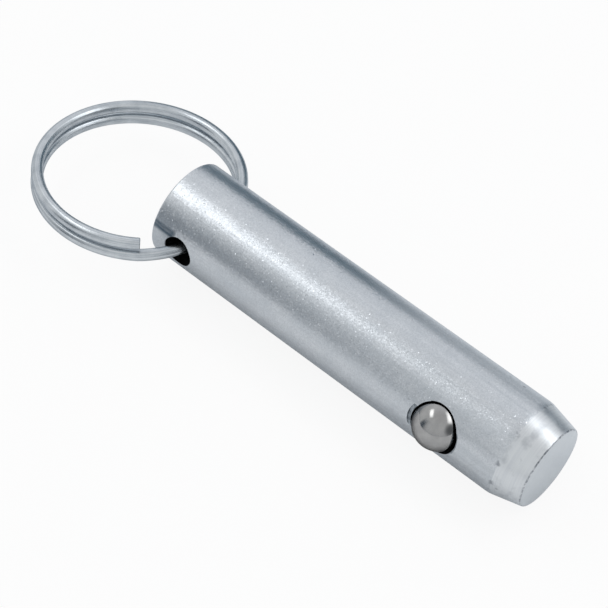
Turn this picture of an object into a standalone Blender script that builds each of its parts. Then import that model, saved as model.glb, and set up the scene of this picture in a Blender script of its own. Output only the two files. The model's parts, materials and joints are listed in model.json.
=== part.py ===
"""Zinc plated detent ball pin with a split ring pull.

The shank lies along X. The centre of its nose face is the origin, and the ring hangs at its tail.
Metres, +Z up.
"""
import math

import bmesh
import bpy
from mathutils import Euler, Vector

# Shank
SHANK_RADIUS = 0.0079375
SHANK_LENGTH = 0.0707
NOSE_TAPER_LENGTH = 0.0052
NOSE_FACE_RADIUS = 0.0067
NOSE_SHOULDER_REACH = 0.0014
NOSE_EDGE_BREAK = 0.00025
TAIL_EDGE_BREAK = 0.0003
SHANK_SIDES = 36

# Split ring, and the cross hole that it threads
RING_HOLE_FROM_TAIL = 0.00534
RING_HOLE_CLEARANCE = 0.0005
RING_HOLE_COUNTERSINK = 0.0003
RING_MEAN_RADIUS = 0.01599
RING_WIRE_RADIUS = 0.00095
RING_TURN_GAP = 0.00045
RING_END_FROM_SHANK = 0.004
RING_DROOP = math.radians(2.05)
RING_LEAN = math.radians(3.8)
RING_YAW = math.radians(1.6)
RING_STEP = math.radians(7.5)

# Detent ball and its seat
BALL_RADIUS = 0.00396875
BALL_FROM_NOSE = 0.01584
BALL_PROTRUSION = 0.0022
BALL_ABOVE_LEVEL = math.radians(11.7)
BALL_CLEARANCE = 0.00015
BALL_SIDES = 48
LIP_CLEARANCE = 0.0001
LIP_DEPTH = 0.0009
STAKE_WIDTH = 0.00033
STAKE_DEPTH = 0.00025
BORE_WALL = 0.0029

# Detent spring
SPRING_WIRE_RADIUS = 0.0004
SPRING_SIDE_GAP = 0.0006
SPRING_END_GAP = 0.0002
SPRING_COILS = 5
SPRING_POINTS_PER_COIL = 10

# Cutters run this far past the faces that they cut
CUT_PAST = 0.002
MERGE = 0.0000005
CREASE = math.radians(25)

# Places worked out from the sizes above
ring_hole_x = RING_HOLE_FROM_TAIL - SHANK_LENGTH
ring_bow = RING_MEAN_RADIUS - math.sqrt(RING_MEAN_RADIUS ** 2 - SHANK_RADIUS ** 2)
ring_hole_radius = RING_WIRE_RADIUS + ring_bow / 2 + RING_HOLE_CLEARANCE
ring_pitch = 2 * RING_WIRE_RADIUS + RING_TURN_GAP
ring_end_angle = math.asin((SHANK_RADIUS + RING_END_FROM_SHANK) / RING_MEAN_RADIUS)
ball_height = SHANK_RADIUS + BALL_PROTRUSION - BALL_RADIUS
bore_radius = BALL_RADIUS + BALL_CLEARANCE
bore_floor = BORE_WALL - SHANK_RADIUS
ball_axis_place = Vector((-BALL_FROM_NOSE, 0, 0))
ball_axis_turn = Euler((math.pi / 2 - BALL_ABOVE_LEVEL, 0, 0))


def clear_scene():
    for old in list(bpy.data.objects):
        bpy.data.objects.remove(old)


def metal(name, colour, roughness):
    material = bpy.data.materials.new(name)
    material.use_nodes = True
    shader = material.node_tree.nodes["Principled BSDF"]
    shader.inputs["Base Color"].default_value = (*colour, 1)
    shader.inputs["Metallic"].default_value = 1
    shader.inputs["Roughness"].default_value = roughness
    return material


def add_object(name, data, parent, material=None):
    item = bpy.data.objects.new(name, data)
    bpy.context.scene.collection.objects.link(item)
    item.parent = parent
    if material:
        data.materials.append(material)
    return item


def rounded_corner(before, corner, after, reach, steps=4):
    """Points of a curve that rounds a profile's corner, starting and ending a reach away from it."""
    corner = Vector(corner)
    start = corner + (Vector(before) - corner).normalized() * reach
    end = corner + (Vector(after) - corner).normalized() * reach
    points = []
    for step in range(steps + 1):
        t = step / steps
        points.append(start * (1 - t) ** 2 + corner * 2 * t * (1 - t) + end * t ** 2)
    return [tuple(point) for point in points]


def finished_mesh(name, form):
    """The mesh of a closed form, merged where points meet, with its round sides shaded smooth."""
    bmesh.ops.remove_doubles(form, verts=form.verts, dist=MERGE)
    bmesh.ops.recalc_face_normals(form, faces=form.faces)
    mesh = bpy.data.meshes.new(name)
    form.to_mesh(mesh)
    form.free()
    mesh.shade_smooth()
    mesh.set_sharp_from_angle(angle=CREASE)
    return mesh


def turned_mesh(name, profile, sides):
    """A closed solid of revolution about Z from (radius, height) points, axis to axis."""
    form = bmesh.new()
    verts = [form.verts.new((radius, 0, height)) for radius, height in profile]
    edges = [form.edges.new(pair) for pair in zip(verts, verts[1:])]
    bmesh.ops.spin(form, geom=verts + edges, axis=(0, 0, 1), cent=(0, 0, 0),
                   angle=2 * math.pi, steps=sides, use_merge=True)
    return finished_mesh(name, form)


def cut(target, cutter):
    cutter.hide_render = True
    cutter.display_type = "WIRE"
    boolean = target.modifiers.new(cutter.name, "BOOLEAN")
    boolean.operation = "DIFFERENCE"
    boolean.solver = "EXACT"
    boolean.object = cutter


def shank_profile():
    """Radius and distance along the shank, from the nose face at 0 back to the tail."""
    shoulder = (SHANK_RADIUS, -NOSE_TAPER_LENGTH)
    nose_edge = (NOSE_FACE_RADIUS, 0)
    tail_edge = (SHANK_RADIUS, -SHANK_LENGTH)
    profile = [(0, 0)]
    profile += rounded_corner((0, 0), nose_edge, shoulder, NOSE_EDGE_BREAK, steps=2)
    profile += rounded_corner(nose_edge, shoulder, tail_edge, NOSE_SHOULDER_REACH)
    profile += rounded_corner(shoulder, tail_edge, (0, -SHANK_LENGTH), TAIL_EDGE_BREAK, steps=2)
    profile.append((0, -SHANK_LENGTH))
    return profile


def ring_hole_profile():
    """The cross hole's cutter, along Y, opening a little at both mouths."""
    mouth = SHANK_RADIUS - RING_HOLE_COUNTERSINK
    end = SHANK_RADIUS + CUT_PAST
    flare = ring_hole_radius + end - mouth
    return [(0, end), (flare, end), (ring_hole_radius, mouth),
            (ring_hole_radius, -mouth), (flare, -end), (0, -end)]


def ball_seat_mesh(name, lip_steps=4):
    """The ball's blind bore about Z. Toward the tail its lip is staked over the ball, which holds it in."""
    lip_low = SHANK_RADIUS - LIP_DEPTH
    lip_high = SHANK_RADIUS - STAKE_DEPTH
    levels = [(bore_floor, bore_radius), (lip_low, bore_radius)]
    for step in range(lip_steps + 1):
        height = lip_low + (lip_high - lip_low) * step / lip_steps
        levels.append((height, math.sqrt((BALL_RADIUS + LIP_CLEARANCE) ** 2 - (height - ball_height) ** 2)))
    levels.append((SHANK_RADIUS + CUT_PAST, levels[-1][1]))
    form = bmesh.new()
    rings = []
    for height, lip_radius in levels:
        ring = []
        for side in range(BALL_SIDES):
            angle = 2 * math.pi * side / BALL_SIDES
            staked = max(-math.cos(angle), 0)
            radius = bore_radius + (lip_radius - bore_radius) * staked
            ring.append(form.verts.new((radius * math.cos(angle), radius * math.sin(angle), height)))
        rings.append(ring)
    for low, high in zip(rings, rings[1:]):
        for side in range(BALL_SIDES):
            after = (side + 1) % BALL_SIDES
            form.faces.new((low[side], low[after], high[after], high[side]))
    form.faces.new(reversed(rings[0]))
    form.faces.new(rings[-1])
    return finished_mesh(name, form)


def stake_profile():
    """The shallow round recess that the staking punch leaves round the ball."""
    radius = bore_radius + STAKE_WIDTH
    top = SHANK_RADIUS + CUT_PAST
    floor = SHANK_RADIUS - STAKE_DEPTH
    return [(0, top), (radius, top), (radius, floor), (0, floor)]


def make_shank(pin):
    steel = metal("bright_zinc_plate", (0.62, 0.65, 0.70), 0.32)
    shank = add_object("shank", turned_mesh("shank", shank_profile(), SHANK_SIDES), pin, steel)
    shank.rotation_euler = (0, math.pi / 2, 0)

    hole = add_object("ring_hole_cutter", turned_mesh("ring_hole", ring_hole_profile(), BALL_SIDES), pin)
    hole.location = (ring_hole_x, 0, 0)
    hole.rotation_euler = (math.pi / 2, 0, 0)
    cut(shank, hole)

    seat = add_object("ball_seat_cutter", ball_seat_mesh("ball_seat"), pin)
    stake = add_object("stake_cutter", turned_mesh("stake", stake_profile(), BALL_SIDES), pin)
    for cutter in (seat, stake):
        cutter.location = ball_axis_place
        cutter.rotation_euler = ball_axis_turn
        cut(shank, cutter)


def make_ball(pin):
    """The ball's origin is its centre, on the line that it slides along."""
    profile = []
    rings = BALL_SIDES // 2
    for step in range(rings + 1):
        angle = math.pi / 2 - math.pi * step / rings
        profile.append((BALL_RADIUS * math.cos(angle), BALL_RADIUS * math.sin(angle)))
    profile[0] = (0, BALL_RADIUS)
    profile[-1] = (0, -BALL_RADIUS)
    steel = metal("polished_ball_steel", (0.60, 0.60, 0.60), 0.08)
    ball = add_object("detent_ball", turned_mesh("detent_ball", profile, BALL_SIDES), pin, steel)
    ball.rotation_euler = ball_axis_turn
    outward = ball_axis_turn.to_matrix() @ Vector((0, 0, 1))
    ball.location = ball_axis_place + outward * ball_height


def make_wire(name, points, wire_radius, sides_level, parent, material):
    """One unbroken round wire along points, with square cut ends."""
    curve = bpy.data.curves.new(name, "CURVE")
    curve.dimensions = "3D"
    curve.bevel_depth = wire_radius
    curve.bevel_resolution = sides_level
    curve.use_fill_caps = True
    spline = curve.splines.new("POLY")
    spline.points.add(len(points) - 1)
    for slot, point in zip(spline.points, points):
        slot.co = (*point, 1)
    spline.use_smooth = True
    return add_object(name, curve, parent, material)


def least_gap(points, wire_radius, turn_points):
    """The least clear distance from the wire to its own neighbouring turns."""
    nearest = math.inf
    for index, point in enumerate(points):
        for other in points[index + turn_points // 2:]:
            nearest = min(nearest, (Vector(point) - Vector(other)).length)
    return nearest - 2 * wire_radius


def make_spring(pin):
    """The spring stands in the bore, from its floor to the underside of the ball."""
    coil_radius = bore_radius - SPRING_SIDE_GAP - SPRING_WIRE_RADIUS
    reach = BALL_RADIUS + SPRING_WIRE_RADIUS + SPRING_END_GAP
    low = bore_floor + SPRING_WIRE_RADIUS + SPRING_END_GAP
    high = ball_height - math.sqrt(reach ** 2 - coil_radius ** 2)
    count = SPRING_COILS * SPRING_POINTS_PER_COIL
    points = []
    for step in range(count + 1):
        turn = 2 * math.pi * step / SPRING_POINTS_PER_COIL
        height = low + (high - low) * step / count
        points.append((coil_radius * math.cos(turn), coil_radius * math.sin(turn), height))
    steel = metal("spring_steel", (0.35, 0.35, 0.36), 0.35)
    spring = make_wire("detent_spring", points, SPRING_WIRE_RADIUS, 1, pin, steel)
    spring.location = ball_axis_place
    spring.rotation_euler = ball_axis_turn
    gap = least_gap(points, SPRING_WIRE_RADIUS, SPRING_POINTS_PER_COIL)
    print("detent_spring least gap to itself, mm:", round(gap * 1000, 3))


def ring_points():
    """The ring's wire about the cross hole's centre.

    The wire starts beside the near mouth of the hole in the upper turn, goes round behind the tail,
    drops to the lower turn as it crosses the hole, and goes round once more to end beside the far mouth.
    """
    centre_x = ring_bow / 2 - RING_MEAN_RADIUS
    side_sweep = 2 * (math.pi - ring_end_angle)
    cross_sweep = 2 * ring_end_angle
    whole = 2 * side_sweep + cross_sweep
    steps = round(whole / RING_STEP)
    points = []
    for step in range(steps + 1):
        swept = whole * step / steps
        angle = -ring_end_angle - swept
        dropped = min(max((swept - side_sweep) / cross_sweep, 0), 1)
        points.append((centre_x + RING_MEAN_RADIUS * math.cos(angle),
                       RING_MEAN_RADIUS * math.sin(angle),
                       ring_pitch * (0.5 - dropped)))
    return points


def make_ring(pin):
    """The ring's origin is the middle of the cross hole, which it swings in."""
    points = ring_points()
    steel = metal("plated_ring_wire", (0.60, 0.61, 0.63), 0.25)
    ring = make_wire("split_ring", points, RING_WIRE_RADIUS, 3, pin, steel)
    ring.location = (ring_hole_x, 0, 0)
    ring.rotation_euler = (-RING_LEAN, -RING_DROOP, RING_YAW)
    gap = least_gap(points, RING_WIRE_RADIUS, round(2 * math.pi / RING_STEP))
    print("split_ring least gap to itself, mm:", round(gap * 1000, 3))


def main():
    clear_scene()
    pin = add_object("pin_frame", None, None)
    make_shank(pin)
    make_ball(pin)
    make_spring(pin)
    make_ring(pin)


main()
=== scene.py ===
"""Looks of the detent ball pin: plated finishes, a small light tent and the photograph's camera.

Everything is in metres in the model's own frame: the nose face at the origin, the shank along X.
Only the materials are worked out in millimetres.
"""
import json
import math

import bmesh
import bpy
from mathutils import Euler, Matrix, Vector


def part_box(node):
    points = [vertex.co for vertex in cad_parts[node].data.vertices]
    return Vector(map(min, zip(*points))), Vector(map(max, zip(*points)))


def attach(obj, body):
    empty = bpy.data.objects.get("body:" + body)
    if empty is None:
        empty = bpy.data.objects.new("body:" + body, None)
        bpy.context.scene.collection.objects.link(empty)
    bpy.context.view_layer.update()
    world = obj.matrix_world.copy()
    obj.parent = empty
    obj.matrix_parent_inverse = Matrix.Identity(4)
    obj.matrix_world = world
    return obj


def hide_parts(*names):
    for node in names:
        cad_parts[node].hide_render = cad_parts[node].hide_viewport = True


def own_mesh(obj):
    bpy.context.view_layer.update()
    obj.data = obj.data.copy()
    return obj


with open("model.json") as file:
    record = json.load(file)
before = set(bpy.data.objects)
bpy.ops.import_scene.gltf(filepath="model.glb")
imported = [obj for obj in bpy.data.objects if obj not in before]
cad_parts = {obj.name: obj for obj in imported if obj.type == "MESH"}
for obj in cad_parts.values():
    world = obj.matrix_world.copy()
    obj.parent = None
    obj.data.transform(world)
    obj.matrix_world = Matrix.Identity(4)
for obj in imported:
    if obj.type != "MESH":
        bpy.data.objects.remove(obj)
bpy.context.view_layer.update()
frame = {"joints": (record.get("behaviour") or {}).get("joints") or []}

# Places and sizes read from the model
JOINTS = {joint["name"]: joint for joint in frame["joints"]}
SHANK_LOW, SHANK_HIGH = (Vector(corner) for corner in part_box("shank"))
SHANK_RADIUS = (SHANK_HIGH.z - SHANK_LOW.z) / 2
SHANK_LENGTH = SHANK_HIGH.x - SHANK_LOW.x
BALL_LOW, BALL_HIGH = (Vector(corner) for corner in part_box("detent_ball"))
BALL_CENTRE = (BALL_LOW + BALL_HIGH) / 2
BALL_RADIUS = (BALL_HIGH.x - BALL_LOW.x) / 2
BALL_AXIS = -Vector(JOINTS["ball_press"]["axis"]).normalized()
BALL_HEIGHT = math.hypot(BALL_CENTRE.y, BALL_CENTRE.z)
BALL_ROOT = BALL_CENTRE - BALL_AXIS * BALL_HEIGHT
RING_HOLE = Vector(JOINTS["ring_swing"]["pos_m"])
FLOOR_Z = SHANK_LOW.z

# Shank details
NOSE_TAPER_LENGTH = 0.0052
NOSE_FACE_RADIUS = 0.0067
NOSE_SHOULDER_REACH = 0.0006
NOSE_SHOULDER_STEPS = 10
NOSE_EDGE_BREAK = 0.00025
NOSE_EDGE_STEPS = 4
TAIL_EDGE_BREAK = 0.0003
TAIL_EDGE_STEPS = 6
RING_HOLE_RADIUS = 0.0026
RING_HOLE_COUNTERSINK = 0.00012
BALL_CLEARANCE = 0.00015
BORE_EASE = 0.0001
BORE_WALL = 0.0029
LIP_CLEARANCE = 0.0002
LIP_DEPTH = 0.0009
LIP_STEPS = 8
STAKE_WIDTH = 0.00033
STAKE_DEPTH = 0.00025
RIM_ROUND = 0.00008
RIM_ANGLE = math.radians(40)
RIM_STEPS = 2
CUT_PAST = 0.002
SHANK_SIDES = 180
SHANK_BANDS = 48
HOLE_SIDES = 96

# Ball, how meshes are welded and smoothed, and the cosine below which a direction counts as across
BALL_RINGS = 40
WELD_DISTANCE = 0.0000005
CREASE_ANGLE = math.radians(35)
ACROSS_COSINE = 0.5

# Split ring, the same winding as in the model
RING_MEAN_RADIUS = 0.01599
RING_WIRE_RADIUS = 0.00095
RING_PITCH = 0.00235
RING_END_FROM_SHANK = 0.004
RING_DROOP = math.radians(2.05)
RING_LEAN = math.radians(3.8)
RING_YAW = math.radians(1.6)
RING_STEP = math.radians(2.5)
RING_SIDES = 28
RING_END_ROUND = 0.00012

# Detent spring
SPRING_WIRE_RADIUS = 0.0004
SPRING_END_ROUND = SPRING_WIRE_RADIUS / 8
SPRING_SIDE_GAP = 0.0006
SPRING_END_GAP = 0.0002
SPRING_COILS = 5
SPRING_POINTS_PER_COIL = 32
SPRING_SIDES = 12

# Colours of the metals, each pair from dark to light, and the tints that they take toward an outline
PLATE_COLOURS = ((0.61, 0.65, 0.69), (0.73, 0.76, 0.79))
PLATE_EDGE_TINT = (0.84, 0.87, 0.9)
CRYSTAL_COLOUR = (0.4, 0.43, 0.46)
WORN_COLOUR = (0.45, 0.49, 0.52)
TURNED_COLOURS = ((0.67, 0.7, 0.73), (0.73, 0.76, 0.78))
SMUDGE_COLOUR = (0.4, 0.43, 0.46)
# Pits, the darker band round the shoulder, and painted shade at the burr round the nose face
PIT_AND_SHADE_COLOUR = (0.2, 0.22, 0.25)
# The ring's dark reflection on the shank, painted
RING_REFLECTION_COLOUR = (0.13, 0.18, 0.23)
# Bare steel in the holes, painted near black as the shade inside them
HOLE_SHADE_COLOURS = ((0.015, 0.016, 0.018), (0.05, 0.052, 0.055))
# Punched steel of the stake recess, its darker tones painted shade
PUNCHED_AND_SHADE_COLOURS = ((0.12, 0.14, 0.16), (0.52, 0.57, 0.61))
ROUGH_EDGE_TINT = (1, 1, 1)
BALL_COLOURS = ((0.36, 0.36, 0.36), (0.44, 0.44, 0.435))
BALL_EDGE_TINT = (0.38, 0.38, 0.38)
RING_COLOURS = ((0.4, 0.44, 0.48), (0.67, 0.71, 0.74))
RING_EDGE_TINT = (0.56, 0.6, 0.64)
SPRING_COLOURS = ((0.25, 0.25, 0.26), (0.4, 0.4, 0.41))
SPRING_EDGE_TINT = (0.8, 0.8, 0.8)

# Tones, from 0 to 1, between which a pair of colours or of roughness values changes
PLATE_TONES = (0.35, 0.65)
TURNED_TONES = (0.3, 0.65)
STEEL_TONES = (0.3, 0.7)
WIRE_TONES = (0.35, 0.6)
ROUGHNESS_TONES = (0.3, 0.7)
PLATE_ROUGHNESS = (0.35, 0.28)
RING_ROUGHNESS = (0.3, 0.2)
SPRING_ROUGHNESS = (0.4, 0.25)
HOLE_ROUGHNESS = 0.55

# Grain of the plated bar. Where a texture is stretched, its count per millimetre is along X, Y and Z
CRYSTALS_PER_MM = 6.5
CRYSTAL_LEAN = 0.09
CRYSTAL_FLASH_LEAN = 0.5
CRYSTAL_FLASH_SHARE = 0.1
CRYSTAL_SHADE = 0.4
CLOUDS_PER_MM = 0.3
STREAKS_PER_MM = (0.05, 2.2, 2.2)
STREAK_DEPTH = 0.000012
BANDS_PER_MM = (0.02, 0.5, 0.5)
TURNED_LENGTH = 0.0046
TURNED_FADE = 0.00008
TURNING_LINES_PER_MM = (5.0, 0.12, 0.12)
TURNING_LINE_DEPTH = 0.000011

# Marks on the plating, with some painted shade and a painted reflection among them. A noise pair says
# where in the noise a mark starts and where it is full, and a reach says from where to where it comes
# or goes
WORN_STREAKS_PER_MM = (0.03, 0.9, 0.9)
WORN_NOISE = (0.45, 0.65)
WORN_SHARE = 0.36
WORN_REACH = (-0.04, -0.012)
SMUDGES_PER_MM = 0.55
SMUDGE_NOISE = (0.52, 0.68)
SMUDGE_SHARE = 0.45
SMUDGE_FACE_REACH = (-0.0006, -0.0002)
SMUDGE_FACE_SHARE = 0.15
# A broken darker band round the shoulder, where the turned nose starts
SHOULDER_DARK_PER_MM = 0.7
SHOULDER_DARK_NOISE = (0.57, 0.66)
SHOULDER_DARK_SHARE = 0.65
SHOULDER_DARK_REACH = (0.0001, 0.0005)
PITS_PER_MM = 0.4
PIT_EDGE = (0.08, 0.15)
PIT_FIELDS_PER_MM = 0.2
PIT_FIELD_NOISE = (0.5, 0.62)
PIT_REACH = (-0.016, -0.009)
# Painted shade of a thin burr ridge round the nose face
BURR_BREAKS_PER_MM = 1.4
BURR_NOISE = (0.42, 0.6)
BURR_SHARES = (0.1, 0.9)
BURR_DEPTH_REACH = (-0.00024, -0.00018)
BURR_RADIUS_REACH = (NOSE_FACE_RADIUS - 0.0002, NOSE_FACE_RADIUS - 0.00014)
# Painted dark reflection of the ring on the shank, from its hole to the tail's edge
RING_REFLECTION_HEIGHT = 0.00245
RING_REFLECTION_WIDTH_REACH = (0.0004, 0.0008)
RING_REFLECTION_FRONT_REACH = (-0.9 * SHANK_RADIUS, -0.85 * SHANK_RADIUS)
RING_REFLECTION_TAIL_REACH = (RING_HOLE.x - 0.0016, RING_HOLE.x - 0.0008)
RING_REFLECTION_SPECKS_PER_MM = (0.4, 1.6, 1.6)
RING_REFLECTION_NOISE = (0.35, 0.6)
RING_REFLECTION_SHARES = (0.35, 0.9)

# Grain of the bare steel, the ball and the wires. Wire lines are counted over the length and the girth
BARE_CLOUDS_PER_MM = 2.0
BALL_CLOUDS_PER_MM = 0.7
BALL_SCRATCHES_PER_MM = (0.3, 9.0, 1.2)
BALL_SCRATCH_NOISE = (0.4, 0.7)
BALL_SCRATCH_ROUGHNESS = (0.09, 0.16)
BALL_SCRATCH_DEPTH = 0.000001
WIRE_LINES = (6.0, 26.0, 1.0)
WIRE_LINE_DEPTH = 0.00005
WIRE_CLOUDS_PER_MM = 0.5

# Millimetres in a metre, and the results of a range that falls
MM = 1000.0
FALLING = (1, 0)

# Camera, from the photograph's outline
CAMERA_PLACE = Vector((0.07772, -0.18197, 0.25083))
CAMERA_FORWARD = Vector((-0.36929, 0.54207, -0.75484))
CAMERA_UP = Vector((-0.54459, 0.53194, 0.64843))
CAMERA_LENS = 131.12
CAMERA_NEAR = 0.01
SENSOR = 36.0

# Floor. In mirrors its white goes from the first share, in front of the pin, to the second, behind it
FLOOR_SIZE = 4.0
FLOOR_PAPER = (0.94, 0.94, 0.94)
FLOOR_WHITE = 0.9
FLOOR_WHITE_IN_MIRRORS = (0.0, 0.24)
FLOOR_WHITE_REACH = (-0.02, 0.02)
FLOOR_CONTACT_COLOUR = (0.2, 0.2, 0.2)
FLOOR_CONTACT_SHARE = 0.24
FLOOR_CONTACT_REACH = 0.007
FLOOR_CONTACT_END = 0.004

# Dark cards. Stops are shares of the length with the card's opacity there
CARDS = {
    "back_card": {
        "feet": ((-0.13, 0.06), (0.04, 0.06)),
        "height": 0.045,
        "colour": (0.16, 0.23, 0.28),
        "stops": ((0.41, 1.0), (0.48, 0.5), (0.57, 0.27), (0.65, 0.1), (0.71, 0.42), (1.0, 0.42)),
        "fade_from": 0.95,
    },
    "front_card": {
        "feet": ((-0.25, -0.173), (0.06, -0.173)),
        "height": 0.19,
        "colour": (0.19, 0.22, 0.25),
        "stops": ((0.0, 0.0), (0.2, 1.0), (0.38, 1.0), (0.5, 0.32), (0.58, 0.12), (0.85, 0.08), (1.0, 0.0)),
        "fade_from": 0.35,
    },
}

# Light tent. Stops go from straight down to straight up, and a patch has the cosines of its edge and core
TENT_WHITE = 1.0
TENT_WHITE_IN_MIRRORS = 0.1
TENT_STOPS = (
    (0.0, (0.56, 0.56, 0.56)),
    (0.5, (0.56, 0.58, 0.6)),
    (0.56, (0.68, 0.69, 0.7)),
    (0.68, (0.735, 0.745, 0.755)),
    (0.9, (0.7, 0.71, 0.72)),
    (1.0, (0.67, 0.67, 0.68)),
)
TENT_PATCHES = (
    {"toward": (-0.35, 0.75, 0.56), "cosines": (0.57, 0.9), "colour": (0.81, 0.82, 0.845)},
    {"toward": (0.95, -0.05, 0.31), "cosines": (0.85, 1.0), "colour": (0.08, 0.09, 0.1)},
    {"toward": (0.0, 0.97, 0.22), "cosines": (0.94, 0.99), "colour": (0.26, 0.29, 0.32)},
)

# Soft lights, each in a direction from the ball and with its length along another
SOFTBOX_DISTANCE = 0.4
SOFTBOXES = {
    "tail_softbox": {
        "direction": (-0.57, -0.175, 0.8),
        "along": (0.44, -0.89, 0.1),
        "width": 0.125,
        "length": 0.3,
        "radiance": 2.2,
    },
    "nose_softbox": {
        "direction": (0.47, 0.37, 0.8),
        "along": (0.78, -0.58, -0.24),
        "width": 0.2,
        "length": 0.4,
        "radiance": 2.0,
    },
}


def new_object(name, data):
    item = bpy.data.objects.new(name, data)
    bpy.context.scene.collection.objects.link(item)
    return item


def dress(piece, body, node):
    """Ties a finished piece to the model: the body it moves with, and hides the solid it stands for."""
    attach(piece, body)
    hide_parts(node)


# Shader nodes

def emptied(owner):
    """The node tree of a material, world or lamp, with nothing in it."""
    owner.use_nodes = True
    owner.node_tree.nodes.clear()
    return owner.node_tree


def add_node(tree, kind, inputs=None, **settings):
    """A new node. Inputs that are sockets are linked, and others are set as values."""
    node = tree.nodes.new(kind)
    for name, value in settings.items():
        setattr(node, name, value)
    for name, value in (inputs or {}).items():
        if isinstance(value, bpy.types.NodeSocket):
            tree.links.new(value, node.inputs[name])
        else:
            node.inputs[name].default_value = value
    return node


def separate(tree, vector):
    return add_node(tree, "ShaderNodeSeparateXYZ", {"Vector": vector}).outputs


def stretched(tree, vector, scale):
    return add_node(tree, "ShaderNodeMapping", {"Vector": vector, "Scale": scale}).outputs["Vector"]


def millimetres(tree, stretch=(1, 1, 1)):
    """Object coordinates in millimetres, stretched along the axes."""
    coordinates = add_node(tree, "ShaderNodeTexCoord").outputs["Object"]
    return stretched(tree, coordinates, [MM * factor for factor in stretch])


def noise(tree, vector, scale=1.0, detail=2.0, roughness=0.5):
    inputs = {"Vector": vector, "Scale": scale, "Detail": detail, "Roughness": roughness}
    return add_node(tree, "ShaderNodeTexNoise", inputs).outputs["Fac"]


def ramp(tree, value, stops):
    """A colour ramp over value from (position, colour) stops."""
    node = add_node(tree, "ShaderNodeValToRGB", {"Fac": value})
    elements = node.color_ramp.elements
    while len(elements) < len(stops):
        elements.new(0.5)
    for element, (position, colour) in zip(elements, stops):
        element.position = position
        element.color = (*colour, 1)
    return node.outputs["Color"]


def shade(tree, tone, tones, colours):
    """A colour that goes from the first to the second of colours as tone goes through tones."""
    return ramp(tree, tone, list(zip(tones, colours)))


def map_range(tree, value, limits, results=(0, 1), **settings):
    """A value that goes through results as another goes through limits, and stays there beyond them."""
    inputs = {"Value": value, "From Min": limits[0], "From Max": limits[1],
              "To Min": results[0], "To Max": results[1]}
    return add_node(tree, "ShaderNodeMapRange", inputs, **settings).outputs["Result"]


def map_reach(tree, value, reach, results=(0, 1)):
    """Like map_range, for a value in millimetres over a reach in metres."""
    return map_range(tree, value, [limit * MM for limit in reach], results)


def math_node(tree, operation, first, second=0.0):
    return add_node(tree, "ShaderNodeMath", {0: first, 1: second}, operation=operation).outputs["Value"]


def product(tree, first, *others):
    for other in others:
        first = math_node(tree, "MULTIPLY", first, other)
    return first


def weighted_sum(tree, first, *others):
    """The sum of (value, weight) pairs."""
    total = product(tree, *first)
    for other in others:
        total = math_node(tree, "ADD", total, product(tree, *other))
    return total


def distance(tree, value, middle):
    """How far value is from middle."""
    return math_node(tree, "ABSOLUTE", math_node(tree, "SUBTRACT", value, middle))


def vector_math(tree, operation, first, second=(0, 0, 0)):
    return add_node(tree, "ShaderNodeVectorMath", {0: first, 1: second}, operation=operation).outputs


def blend(tree, amount, first, second):
    """A colour that goes from first to second, sockets or plain colours, as amount goes from 0 to 1."""
    ends = [(*end, 1) if isinstance(end, tuple) else end for end in (first, second)]
    inputs = {"Factor": amount, "A": ends[0], "B": ends[1]}
    return add_node(tree, "ShaderNodeMix", inputs, data_type="RGBA").outputs["Result"]


def bump(tree, height, depth, normal=None):
    inputs = {"Height": height, "Distance": depth}
    if normal:
        inputs["Normal"] = normal
    return add_node(tree, "ShaderNodeBump", inputs).outputs["Normal"]


def show_mix(tree, output, share, first, second):
    """Ends a tree with a shader that goes from first to second as share goes from 0 to 1."""
    mixed = add_node(tree, "ShaderNodeMixShader", {0: share, 1: first, 2: second}).outputs["Shader"]
    add_node(tree, output, {"Surface": mixed})


# Materials

def metal(name, edge_tint):
    """A metallic material that dims toward its outline by edge_tint, with its node tree and shader."""
    material = bpy.data.materials.new(name)
    material.use_nodes = True
    tree = material.node_tree
    shader = tree.nodes["Principled BSDF"]
    shader.inputs["Metallic"].default_value = 1
    shader.inputs["Specular Tint"].default_value = (*edge_tint, 1)
    return material, tree, shader


def crystals(tree, place, share):
    """The plating's small crystals: a normal for each, and a random number for each.

    All lean a little, by a share of the usual lean, and a few lean far enough to flash.
    """
    cells = add_node(tree, "ShaderNodeTexVoronoi", {"Vector": place, "Scale": CRYSTALS_PER_MM}).outputs
    draw = add_node(tree, "ShaderNodeTexWhiteNoise", {"Vector": cells["Position"]}).outputs["Value"]
    lean = map_range(tree, draw, (1 - CRYSTAL_FLASH_SHARE, 1), (CRYSTAL_LEAN, CRYSTAL_FLASH_LEAN))
    way = vector_math(tree, "SUBTRACT", cells["Color"], (0.5, 0.5, 0.5))["Vector"]
    scaled = {0: way, "Scale": product(tree, lean, share)}
    tilt = add_node(tree, "ShaderNodeVectorMath", scaled, operation="SCALE").outputs["Vector"]
    normal = add_node(tree, "ShaderNodeNewGeometry").outputs["Normal"]
    leaned = vector_math(tree, "ADD", normal, tilt)["Vector"]
    return vector_math(tree, "NORMALIZE", leaned)["Vector"], draw


def worn_streaks(tree, along):
    """How much of the dull streaks along the nose half shows."""
    streaks = noise(tree, millimetres(tree, WORN_STREAKS_PER_MM))
    return product(tree, map_range(tree, streaks, WORN_NOISE, (0, WORN_SHARE)),
                   map_reach(tree, along, WORN_REACH))


def smudges(tree, place, along):
    """How much of the smudges on the turned nose shows. Its face has few."""
    smudge = map_range(tree, noise(tree, place, SMUDGES_PER_MM, detail=3), SMUDGE_NOISE, (0, SMUDGE_SHARE))
    return product(tree, smudge, map_reach(tree, along, SMUDGE_FACE_REACH, (1, SMUDGE_FACE_SHARE)))


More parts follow.
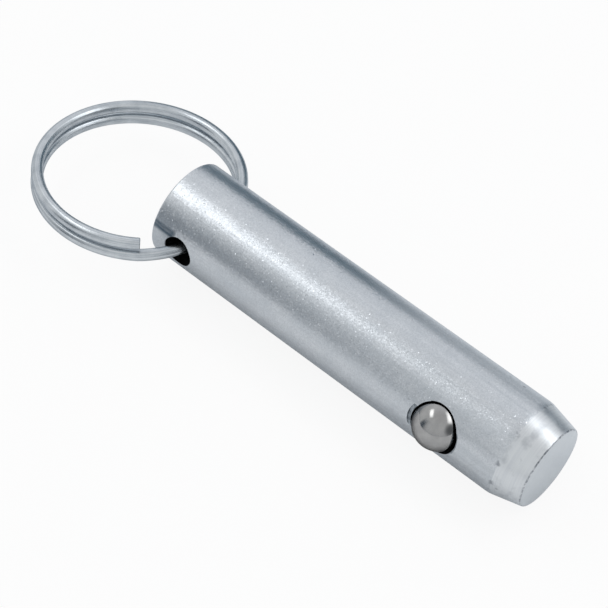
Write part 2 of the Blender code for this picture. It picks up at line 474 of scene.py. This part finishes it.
def shoulder_dark_band(tree, place, along):
    """How much of the broken darker band round the shoulder shows, where the turned nose starts."""
    darkening = map_range(tree, noise(tree, place, SHOULDER_DARK_PER_MM), SHOULDER_DARK_NOISE, (0, SHOULDER_DARK_SHARE))
    off_shoulder = distance(tree, along, -TURNED_LENGTH * MM)
    return product(tree, darkening, map_reach(tree, off_shoulder, SHOULDER_DARK_REACH, FALLING))


def pits(tree, place, along):
    """How much of the pits near the nose shows. They lie in a few fields."""
    cells = add_node(tree, "ShaderNodeTexVoronoi", {"Vector": place, "Scale": PITS_PER_MM}).outputs
    field = map_range(tree, noise(tree, place, PIT_FIELDS_PER_MM), PIT_FIELD_NOISE)
    return product(tree, map_range(tree, cells["Distance"], PIT_EDGE, FALLING), field,
                   map_reach(tree, along, PIT_REACH))


def nose_edge_burr_shade(tree, place, along):
    """How much of the painted shade of the thin broken burr ridge round the nose face shows."""
    radius = vector_math(tree, "LENGTH", vector_math(tree, "MULTIPLY", place, (0, 1, 1))["Vector"])["Value"]
    breaks = noise(tree, place, BURR_BREAKS_PER_MM, detail=4, roughness=0.7)
    return product(tree, map_reach(tree, along, BURR_DEPTH_REACH),
                   map_reach(tree, radius, BURR_RADIUS_REACH),
                   map_range(tree, breaks, BURR_NOISE, BURR_SHARES))


def painted_ring_reflection(tree, place, along):
    """How much of the painted dark reflection of the ring shows on the shank, from its hole to the tail's
    edge.
    """
    sides = separate(tree, place)
    near = map_reach(tree, distance(tree, sides["Z"], RING_REFLECTION_HEIGHT * MM), RING_REFLECTION_WIDTH_REACH, FALLING)
    front = map_reach(tree, sides["Y"], RING_REFLECTION_FRONT_REACH, FALLING)
    tail = map_reach(tree, along, RING_REFLECTION_TAIL_REACH, FALLING)
    specks = noise(tree, millimetres(tree, RING_REFLECTION_SPECKS_PER_MM))
    return product(tree, near, front, tail, map_range(tree, specks, RING_REFLECTION_NOISE, RING_REFLECTION_SHARES))


def zinc_plate():
    """Bright zinc on a drawn bar with a turned nose: crystal grain, faint lines, a few marks, painted shade
    and a painted reflection.
    """
    material, tree, shader = metal("zinc_plate", PLATE_EDGE_TINT)
    place = millimetres(tree)
    along = separate(tree, place)["X"]
    nose = map_reach(tree, along, (-TURNED_LENGTH - TURNED_FADE, -TURNED_LENGTH + TURNED_FADE))
    drawn = math_node(tree, "SUBTRACT", 1.0, nose)
    grain, draw = crystals(tree, place, drawn)

    cloud = noise(tree, place, CLOUDS_PER_MM, detail=5, roughness=0.6)
    streak = noise(tree, millimetres(tree, STREAKS_PER_MM), detail=4)
    band = noise(tree, millimetres(tree, BANDS_PER_MM))
    tone = weighted_sum(tree, (cloud, 0.4), (streak, 0.3), (band, 0.3))
    plate = shade(tree, tone, PLATE_TONES, PLATE_COLOURS)
    plate = blend(tree, map_range(tree, draw, (0, 1), (CRYSTAL_SHADE, 0)), plate, CRYSTAL_COLOUR)
    plate = blend(tree, worn_streaks(tree, along), plate, WORN_COLOUR)

    lines = noise(tree, millimetres(tree, TURNING_LINES_PER_MM), detail=3)
    cut = shade(tree, lines, TURNED_TONES, TURNED_COLOURS)
    cut = blend(tree, smudges(tree, place, along), cut, SMUDGE_COLOUR)
    plate = blend(tree, nose, plate, cut)

    plate = blend(tree, shoulder_dark_band(tree, place, along), plate, PIT_AND_SHADE_COLOUR)
    plate = blend(tree, pits(tree, place, along), plate, PIT_AND_SHADE_COLOUR)
    # Painted shade at the burr round the nose face
    plate = blend(tree, nose_edge_burr_shade(tree, place, along), plate, PIT_AND_SHADE_COLOUR)
    # The ring's dark reflection, painted on the plate
    plate = blend(tree, painted_ring_reflection(tree, place, along), plate, RING_REFLECTION_COLOUR)
    tree.links.new(plate, shader.inputs["Base Color"])

    rough = map_range(tree, tone, ROUGHNESS_TONES, PLATE_ROUGHNESS)
    tree.links.new(rough, shader.inputs["Roughness"])
    drawn_lines = bump(tree, product(tree, streak, drawn), STREAK_DEPTH, normal=grain)
    turned_lines = bump(tree, product(tree, lines, nose), TURNING_LINE_DEPTH, normal=drawn_lines)
    tree.links.new(turned_lines, shader.inputs["Normal"])
    return material


def rough_steel(name, colours):
    """Drilled or punched steel that the plating hardly reaches, darkened by painted shade."""
    material, tree, shader = metal(name, ROUGH_EDGE_TINT)
    tone = noise(tree, millimetres(tree), BARE_CLOUDS_PER_MM, detail=4)
    tree.links.new(shade(tree, tone, STEEL_TONES, colours), shader.inputs["Base Color"])
    shader.inputs["Roughness"].default_value = HOLE_ROUGHNESS
    return material


def ball_steel():
    """Polished bearing steel with a few hairline scratches."""
    material, tree, shader = metal("polished_ball_steel", BALL_EDGE_TINT)
    tone = noise(tree, millimetres(tree), BALL_CLOUDS_PER_MM, detail=3)
    tree.links.new(shade(tree, tone, STEEL_TONES, BALL_COLOURS), shader.inputs["Base Color"])
    scratch = noise(tree, millimetres(tree, BALL_SCRATCHES_PER_MM), detail=3)
    rough = map_range(tree, scratch, BALL_SCRATCH_NOISE, BALL_SCRATCH_ROUGHNESS)
    tree.links.new(rough, shader.inputs["Roughness"])
    tree.links.new(bump(tree, scratch, BALL_SCRATCH_DEPTH), shader.inputs["Normal"])
    return material


def drawn_wire(name, colours, edge_tint, roughness):
    """Wire with draw lines along its length, read from the wire's own length and girth coordinates."""
    material, tree, shader = metal(name, edge_tint)
    girth = add_node(tree, "ShaderNodeTexCoord").outputs["UV"]
    lines = noise(tree, stretched(tree, girth, WIRE_LINES), detail=3)
    cloud = noise(tree, millimetres(tree), WIRE_CLOUDS_PER_MM, detail=4)
    tone = weighted_sum(tree, (lines, 0.65), (cloud, 0.35))
    tree.links.new(shade(tree, tone, WIRE_TONES, colours), shader.inputs["Base Color"])
    tree.links.new(map_range(tree, tone, ROUGHNESS_TONES, roughness), shader.inputs["Roughness"])
    tree.links.new(bump(tree, lines, WIRE_LINE_DEPTH), shader.inputs["Normal"])
    return material


# Shapes

def rounded_corner(before, corner, after, reach, steps):
    """Points of a curve that rounds a profile's corner, starting and ending a reach away from it."""
    corner = Vector(corner)
    start = corner + (Vector(before) - corner).normalized() * reach
    end = corner + (Vector(after) - corner).normalized() * reach
    points = []
    for step in range(steps + 1):
        t = step / steps
        points.append(tuple(start * (1 - t) ** 2 + corner * 2 * t * (1 - t) + end * t ** 2))
    return points


def placed(name, form, root, axis, material):
    """An object from a closed form made about Z, with its foot at root and Z along axis.

    A form that lies across the shank has its own X along the shank.
    """
    bmesh.ops.remove_doubles(form, verts=form.verts, dist=WELD_DISTANCE)
    bmesh.ops.recalc_face_normals(form, faces=form.faces)
    turn = Vector((0, 0, 1)).rotation_difference(axis).to_matrix()
    if abs(axis.x) < ACROSS_COSINE:
        across = Vector((1, 0, 0))
        turn = Matrix((across, axis.cross(across), axis)).transposed()
    form.transform(Matrix.Translation(root) @ turn.to_4x4())
    mesh = bpy.data.meshes.new(name)
    form.to_mesh(mesh)
    form.free()
    mesh.materials.append(material)
    return new_object(name, mesh)


def turned(name, profile, root, axis, sides, material):
    """A closed solid of revolution from (radius, distance along axis) points, both ends on the axis."""
    form = bmesh.new()
    verts = [form.verts.new((radius, 0, height)) for radius, height in profile]
    edges = [form.edges.new(pair) for pair in zip(verts, verts[1:])]
    bmesh.ops.spin(form, geom=verts + edges, axis=(0, 0, 1), cent=(0, 0, 0),
                   angle=2 * math.pi, steps=sides, use_merge=True)
    return placed(name, form, root, axis, material)


def stacked(name, levels, radius_at, root, axis, sides, material):
    """A closed solid of rings at levels, each ring's radius given by its level and its angle."""
    form = bmesh.new()
    rings = []
    for level in levels:
        ring = []
        for side in range(sides):
            angle = 2 * math.pi * side / sides
            radius = radius_at(level, angle)
            ring.append(form.verts.new((radius * math.cos(angle), radius * math.sin(angle), level[0])))
        rings.append(ring)
    for low, high in zip(rings, rings[1:]):
        for side in range(sides):
            after = (side + 1) % sides
            form.faces.new((low[side], low[after], high[after], high[side]))
    form.faces.new(reversed(rings[0]))
    form.faces.new(rings[-1])
    return placed(name, form, root, axis, material)


def smooth(piece):
    piece.data.shade_smooth()
    piece.data.set_sharp_from_angle(angle=CREASE_ANGLE)


def settle(piece):
    """Replaces a piece's mesh with what its modifiers make of it."""
    seen = piece.evaluated_get(bpy.context.evaluated_depsgraph_get())
    mesh = bpy.data.meshes.new_from_object(seen)
    piece.modifiers.clear()
    piece.data = mesh


def carve(piece, cutters):
    """Cuts the cutters out of a piece, with their materials on the cut faces, and removes them."""
    for cutter in cutters:
        boolean = piece.modifiers.new(cutter.name, "BOOLEAN")
        boolean.operation = "DIFFERENCE"
        boolean.solver = "EXACT"
        boolean.material_mode = "TRANSFER"
        boolean.object = cutter
    settle(piece)
    for cutter in cutters:
        bpy.data.objects.remove(cutter)


def paint(piece, material, chosen):
    """Gives the faces that chosen picks a second material."""
    piece.data.materials.append(material)
    for face in piece.data.polygons:
        if chosen(face):
            face.material_index = 1


def ring_hole(plate, shaded_bare_steel):
    """Cutter of the cross hole, bare and in painted shade inside, opening a little at both plated mouths.
    """
    mouth = SHANK_RADIUS - RING_HOLE_COUNTERSINK
    past = SHANK_RADIUS + CUT_PAST
    flare = RING_HOLE_RADIUS + past - mouth
    profile = [(0, past), (flare, past), (RING_HOLE_RADIUS, mouth),
               (RING_HOLE_RADIUS, -mouth), (flare, -past), (0, -past)]
    across = Vector((0, 1, 0))
    hole = turned("ring_hole", profile, RING_HOLE, across, HOLE_SIDES, plate)
    paint(hole, shaded_bare_steel, lambda face: abs(face.normal.dot(across)) < ACROSS_COSINE)
    return hole


def ball_seat(shaded_bare_steel):
    """Cutter of the ball's blind bore, in painted shade. Toward the tail its lip is staked over the ball.
    """
    bore = BALL_RADIUS + BALL_CLEARANCE + BORE_EASE
    socket = BALL_RADIUS + LIP_CLEARANCE
    lip_low = SHANK_RADIUS - LIP_DEPTH
    lip_high = SHANK_RADIUS - STAKE_DEPTH
    levels = [(BORE_WALL - SHANK_RADIUS, bore), (lip_low, bore)]
    for step in range(LIP_STEPS + 1):
        height = lip_low + (lip_high - lip_low) * step / LIP_STEPS
        levels.append((height, math.sqrt(socket ** 2 - (height - BALL_HEIGHT) ** 2)))
    levels.append((SHANK_RADIUS + CUT_PAST, levels[-1][1]))

    def radius_at(level, angle):
        staked = max(-math.cos(angle), 0)
        return bore + (level[1] - bore) * staked

    return stacked("ball_seat", levels, radius_at, BALL_ROOT, BALL_AXIS, HOLE_SIDES, shaded_bare_steel)


def stake_mark(punched_and_shaded):
    """Cutter of the shallow round recess that the staking punch leaves round the ball: punched steel and
    painted shade.
    """
    radius = BALL_RADIUS + BALL_CLEARANCE + STAKE_WIDTH
    past = SHANK_RADIUS + CUT_PAST
    floor = SHANK_RADIUS - STAKE_DEPTH
    profile = [(0, past), (radius, past), (radius, floor), (0, floor)]
    return turned("stake_mark", profile, BALL_ROOT, BALL_AXIS, HOLE_SIDES, punched_and_shaded)


def make_shank(plate, shaded_bare_steel, punched_and_shaded):
    """The turned bar with its holes, whose rims are a little broken."""
    shoulder = (SHANK_RADIUS, -NOSE_TAPER_LENGTH)
    nose_edge = (NOSE_FACE_RADIUS, 0)
    tail_edge = (SHANK_RADIUS, -SHANK_LENGTH)
    tail_centre = (0, -SHANK_LENGTH)
    profile = [(0, 0)]
    profile += rounded_corner((0, 0), nose_edge, shoulder, NOSE_EDGE_BREAK, NOSE_EDGE_STEPS)
    profile += rounded_corner(nose_edge, shoulder, tail_edge, NOSE_SHOULDER_REACH, NOSE_SHOULDER_STEPS)
    front = -NOSE_TAPER_LENGTH - NOSE_SHOULDER_REACH
    back = TAIL_EDGE_BREAK - SHANK_LENGTH
    for band in range(1, SHANK_BANDS):
        profile.append((SHANK_RADIUS, front + (back - front) * band / SHANK_BANDS))
    profile += rounded_corner(shoulder, tail_edge, tail_centre, TAIL_EDGE_BREAK, TAIL_EDGE_STEPS)
    profile.append(tail_centre)
    shank = turned("shank_plated", profile, Vector((0, 0, 0)), Vector((1, 0, 0)), SHANK_SIDES, plate)
    carve(shank, [ring_hole(plate, shaded_bare_steel), ball_seat(shaded_bare_steel), stake_mark(punched_and_shaded)])
    rim = shank.modifiers.new("rim", "BEVEL")
    rim.limit_method = "ANGLE"
    rim.angle_limit = RIM_ANGLE
    rim.width = RIM_ROUND
    rim.segments = RIM_STEPS
    settle(shank)
    smooth(shank)
    dress(shank, "pin", "shank")


def make_ball(steel):
    profile = []
    for step in range(BALL_RINGS + 1):
        angle = math.pi / 2 - math.pi * step / BALL_RINGS
        profile.append((BALL_RADIUS * max(math.cos(angle), 0), BALL_RADIUS * math.sin(angle)))
    profile[0] = (0, BALL_RADIUS)
    profile[-1] = (0, -BALL_RADIUS)
    ball = turned("ball_polished", profile, BALL_CENTRE, BALL_AXIS, 2 * BALL_RINGS, steel)
    smooth(ball)
    dress(ball, "ball", "detent_ball")


def wire(name, points, wire_radius, sides, end_round, material):
    """A round wire along points, square at both ends with a small broken edge."""
    points = [Vector(point) for point in points]
    forward = [(points[min(i + 1, len(points) - 1)] - points[max(i - 1, 0)]).normalized()
               for i in range(len(points))]
    stations = [(points[0], forward[0], wire_radius - end_round)]
    stations.append((points[0] + forward[0] * end_round, forward[0], wire_radius))
    stations += [(point, way, wire_radius) for point, way in zip(points[1:-1], forward[1:-1])]
    stations.append((points[-1] - forward[-1] * end_round, forward[-1], wire_radius))
    stations.append((points[-1], forward[-1], wire_radius - end_round))

    form = bmesh.new()
    length_layer = form.loops.layers.uv.new("length_girth")
    side = forward[0].orthogonal().normalized()
    loops = []
    travelled = [0.0]
    for index, (point, way, radius) in enumerate(stations):
        side = (side - way * side.dot(way)).normalized()
        other = way.cross(side)
        ring = []
        for k in range(sides):
            angle = 2 * math.pi * k / sides
            ring.append(form.verts.new(point + (side * math.cos(angle) + other * math.sin(angle)) * radius))
        loops.append(ring)
        if index:
            travelled.append(travelled[-1] + (point - stations[index - 1][0]).length)
    for i in range(len(loops) - 1):
        for k in range(sides):
            corners = [(i, k), (i, k + 1), (i + 1, k + 1), (i + 1, k)]
            face = form.faces.new([loops[a][b % sides] for a, b in corners])
            for loop, (a, b) in zip(face.loops, corners):
                loop[length_layer].uv = (travelled[a] / travelled[-1], b / sides)
    form.faces.new(reversed(loops[0]))
    form.faces.new(loops[-1])
    bmesh.ops.recalc_face_normals(form, faces=form.faces)
    mesh = bpy.data.meshes.new(name)
    form.to_mesh(mesh)
    form.free()
    mesh.materials.append(material)
    piece = new_object(name, mesh)
    smooth(piece)
    return piece


def make_ring(plate):
    """Almost two turns: one wire crosses the hole, and an end lies beside each of its mouths."""
    end_angle = math.asin((SHANK_RADIUS + RING_END_FROM_SHANK) / RING_MEAN_RADIUS)
    bow = RING_MEAN_RADIUS - math.sqrt(RING_MEAN_RADIUS ** 2 - SHANK_RADIUS ** 2)
    centre_x = bow / 2 - RING_MEAN_RADIUS
    side_sweep = 2 * (math.pi - end_angle)
    cross_sweep = 2 * end_angle
    whole = 2 * side_sweep + cross_sweep
    steps = round(whole / RING_STEP)
    turn = Euler((-RING_LEAN, -RING_DROOP, RING_YAW)).to_matrix()
    points = []
    for step in range(steps + 1):
        swept = whole * step / steps
        angle = -end_angle - swept
        dropped = min(max((swept - side_sweep) / cross_sweep, 0), 1)
        local = Vector((centre_x + RING_MEAN_RADIUS * math.cos(angle),
                        RING_MEAN_RADIUS * math.sin(angle),
                        RING_PITCH * (0.5 - dropped)))
        points.append(RING_HOLE + turn @ local)
    ring = wire("ring_wound", points, RING_WIRE_RADIUS, RING_SIDES, RING_END_ROUND, plate)
    dress(ring, "ring", "split_ring")


def make_spring(steel):
    """The compression spring behind the ball."""
    seat_radius = BALL_RADIUS + BALL_CLEARANCE
    coil_radius = seat_radius - SPRING_SIDE_GAP - SPRING_WIRE_RADIUS
    reach = BALL_RADIUS + SPRING_WIRE_RADIUS + SPRING_END_GAP
    floor = BORE_WALL - SHANK_RADIUS
    low = floor + SPRING_WIRE_RADIUS + SPRING_END_GAP
    high = BALL_HEIGHT - math.sqrt(reach ** 2 - coil_radius ** 2)
    side = Vector((1, 0, 0))
    other = BALL_AXIS.cross(side)
    count = SPRING_COILS * SPRING_POINTS_PER_COIL
    points = []
    for step in range(count + 1):
        turn = 2 * math.pi * step / SPRING_POINTS_PER_COIL
        height = low + (high - low) * step / count
        points.append(BALL_ROOT + (side * math.cos(turn) + other * math.sin(turn)) * coil_radius
                      + BALL_AXIS * height)
    spring = wire("spring_wound", points, SPRING_WIRE_RADIUS, SPRING_SIDES, SPRING_END_ROUND, steel)
    dress(spring, "pin", "detent_spring")
    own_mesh(spring)


# Stage

def white_share(tree, to_camera, in_mirrors):
    """How much white shows by kind of ray: to the camera and through glass, in mirrors, else none."""
    path = add_node(tree, "ShaderNodeLightPath").outputs
    seen = math_node(tree, "MAXIMUM", path["Is Camera Ray"], path["Is Transmission Ray"])
    mirrored = product(tree, path["Is Glossy Ray"], in_mirrors)
    return math_node(tree, "MAXIMUM", product(tree, seen, to_camera), mirrored)


def contact_shade(tree, sides):
    """How much of the darker paint on the floor shows under the pin and along it."""
    beside = map_reach(tree, distance(tree, sides["Y"], 0.0),
                       (SHANK_RADIUS, SHANK_RADIUS + FLOOR_CONTACT_REACH), FALLING)
    from_tail = map_reach(tree, sides["X"], (-SHANK_LENGTH - FLOOR_CONTACT_END,
                                             -SHANK_LENGTH + FLOOR_CONTACT_END))
    to_nose = map_reach(tree, sides["X"], (-FLOOR_CONTACT_END, FLOOR_CONTACT_END), FALLING)
    return product(tree, beside, from_tail, to_nose, FLOOR_CONTACT_SHARE)


def make_floor():
    """White paper that keeps the part's shadow."""
    bpy.ops.mesh.primitive_plane_add(size=FLOOR_SIZE, location=(0, 0, FLOOR_Z))
    floor = bpy.context.object
    floor.name = "floor"
    material = bpy.data.materials.new("white_floor")
    tree = emptied(material)
    sides = separate(tree, millimetres(tree))
    white = blend(tree, contact_shade(tree, sides), FLOOR_PAPER, FLOOR_CONTACT_COLOUR)
    paper = add_node(tree, "ShaderNodeBsdfDiffuse", {"Color": white}).outputs["BSDF"]
    glow = add_node(tree, "ShaderNodeEmission", {"Strength": 1.0}).outputs["Emission"]
    in_mirrors = map_reach(tree, sides["Y"], FLOOR_WHITE_REACH, FLOOR_WHITE_IN_MIRRORS)
    share = white_share(tree, FLOOR_WHITE, in_mirrors)
    show_mix(tree, "ShaderNodeOutputMaterial", share, paper, glow)
    floor.data.materials.append(material)


def make_card(name, feet, height, colour, stops, fade_from):
    """A soft dark card on the floor, out of sight, that the metal mirrors.

    It is as opaque as its stops say along its length, and fades from a share of its height to its top.
    """
    corners = [(*foot, FLOOR_Z) for foot in feet]
    corners += [(*foot, FLOOR_Z + height) for foot in reversed(feet)]
    mesh = bpy.data.meshes.new(name)
    mesh.from_pydata(corners, [], [(0, 1, 2, 3)])
    material = bpy.data.materials.new(name)
    tree = emptied(material)
    shares = separate(tree, add_node(tree, "ShaderNodeTexCoord").outputs["Generated"])
    length = ramp(tree, shares["X"], [(share, (opacity,) * 3) for share, opacity in stops])
    opaque = product(tree, length, map_range(tree, shares["Z"], (fade_from, 1), FALLING))
    clear = add_node(tree, "ShaderNodeBsdfTransparent").outputs["BSDF"]
    paper = add_node(tree, "ShaderNodeBsdfDiffuse", {"Color": (*colour, 1)}).outputs["BSDF"]
    show_mix(tree, "ShaderNodeOutputMaterial", opaque, clear, paper)
    mesh.materials.append(material)
    card = new_object(name, mesh)
    card.visible_camera = False
    card.visible_diffuse = False
    card.visible_shadow = False


def patch(tree, tent, direction, toward, cosines, colour):
    """The tent's colour with a soft patch of another colour toward a direction."""
    cosine = vector_math(tree, "DOT_PRODUCT", direction, Vector(toward).normalized())["Value"]
    return blend(tree, map_range(tree, cosine, cosines, interpolation_type="SMOOTHSTEP"), tent, colour)


def make_world():
    """A light tent with a dim horizon, a bright side and two dark corners.

    The camera sees it as white, and mirrors show a little of that white.
    """
    world = bpy.data.worlds.new("light_tent")
    bpy.context.scene.world = world
    tree = emptied(world)
    direction = add_node(tree, "ShaderNodeTexCoord").outputs["Generated"]
    tent = ramp(tree, map_range(tree, separate(tree, direction)["Z"], (-1, 1)), TENT_STOPS)
    for tent_patch in TENT_PATCHES:
        tent = patch(tree, tent, direction, **tent_patch)
    sky = add_node(tree, "ShaderNodeBackground", {"Color": tent}).outputs["Background"]
    white = add_node(tree, "ShaderNodeBackground", {"Color": (1, 1, 1, 1)}).outputs["Background"]
    share = white_share(tree, TENT_WHITE, TENT_WHITE_IN_MIRRORS)
    show_mix(tree, "ShaderNodeOutputWorld", share, sky, white)


def bell(tree, share):
    """A smooth rise and fall over a share of 0 to 1, highest in the middle, where it is 1."""
    return product(tree, share, math_node(tree, "SUBTRACT", 1.0, share), 4.0)


def softbox(name, direction, along, width, length, radiance):
    """A soft light in a direction from the ball, facing it, brightest in its middle."""
    lamp = bpy.data.lights.new(name, "AREA")
    lamp.shape = "RECTANGLE"
    lamp.size = width
    lamp.size_y = length
    lamp.energy = radiance * math.pi * width * length
    tree = emptied(lamp)
    sides = separate(tree, add_node(tree, "ShaderNodeNewGeometry").outputs["Parametric"])
    glow = product(tree, bell(tree, sides["X"]), bell(tree, sides["Y"]))
    cloth = add_node(tree, "ShaderNodeEmission", {"Strength": glow}).outputs["Emission"]
    add_node(tree, "ShaderNodeOutputLight", {"Surface": cloth})
    item = new_object(name, lamp)
    back = Vector(direction).normalized()
    side = Vector(along).cross(back).normalized()
    axes = Matrix((side, back.cross(side), back)).transposed().to_4x4()
    item.matrix_world = Matrix.Translation(BALL_CENTRE + back * SOFTBOX_DISTANCE) @ axes


def make_camera():
    """The photograph's camera."""
    data = bpy.data.cameras.new("camera")
    data.lens = CAMERA_LENS
    data.sensor_width = SENSOR
    data.clip_start = CAMERA_NEAR
    camera = new_object("camera", data)
    back = -CAMERA_FORWARD.normalized()
    right = CAMERA_UP.cross(back).normalized()
    up = back.cross(right)
    axes = Matrix((right, up, back)).transposed().to_4x4()
    camera.matrix_world = Matrix.Translation(CAMERA_PLACE) @ axes
    bpy.context.scene.camera = camera


def main():
    shaded_bare_steel = rough_steel("hole_wall_painted_shade", HOLE_SHADE_COLOURS)
    punched_and_shaded = rough_steel("punched_edge_and_shade", PUNCHED_AND_SHADE_COLOURS)
    make_shank(zinc_plate(), shaded_bare_steel, punched_and_shaded)
    make_ball(ball_steel())
    make_ring(drawn_wire("plated_ring_wire", RING_COLOURS, RING_EDGE_TINT, RING_ROUGHNESS))
    make_spring(drawn_wire("spring_steel", SPRING_COLOURS, SPRING_EDGE_TINT, SPRING_ROUGHNESS))
    make_floor()
    for name, card in CARDS.items():
        make_card(name, **card)
    make_world()
    for name, box in SOFTBOXES.items():
        softbox(name, **box)
    make_camera()
    bpy.context.scene.view_settings.view_transform = "Standard"


main()
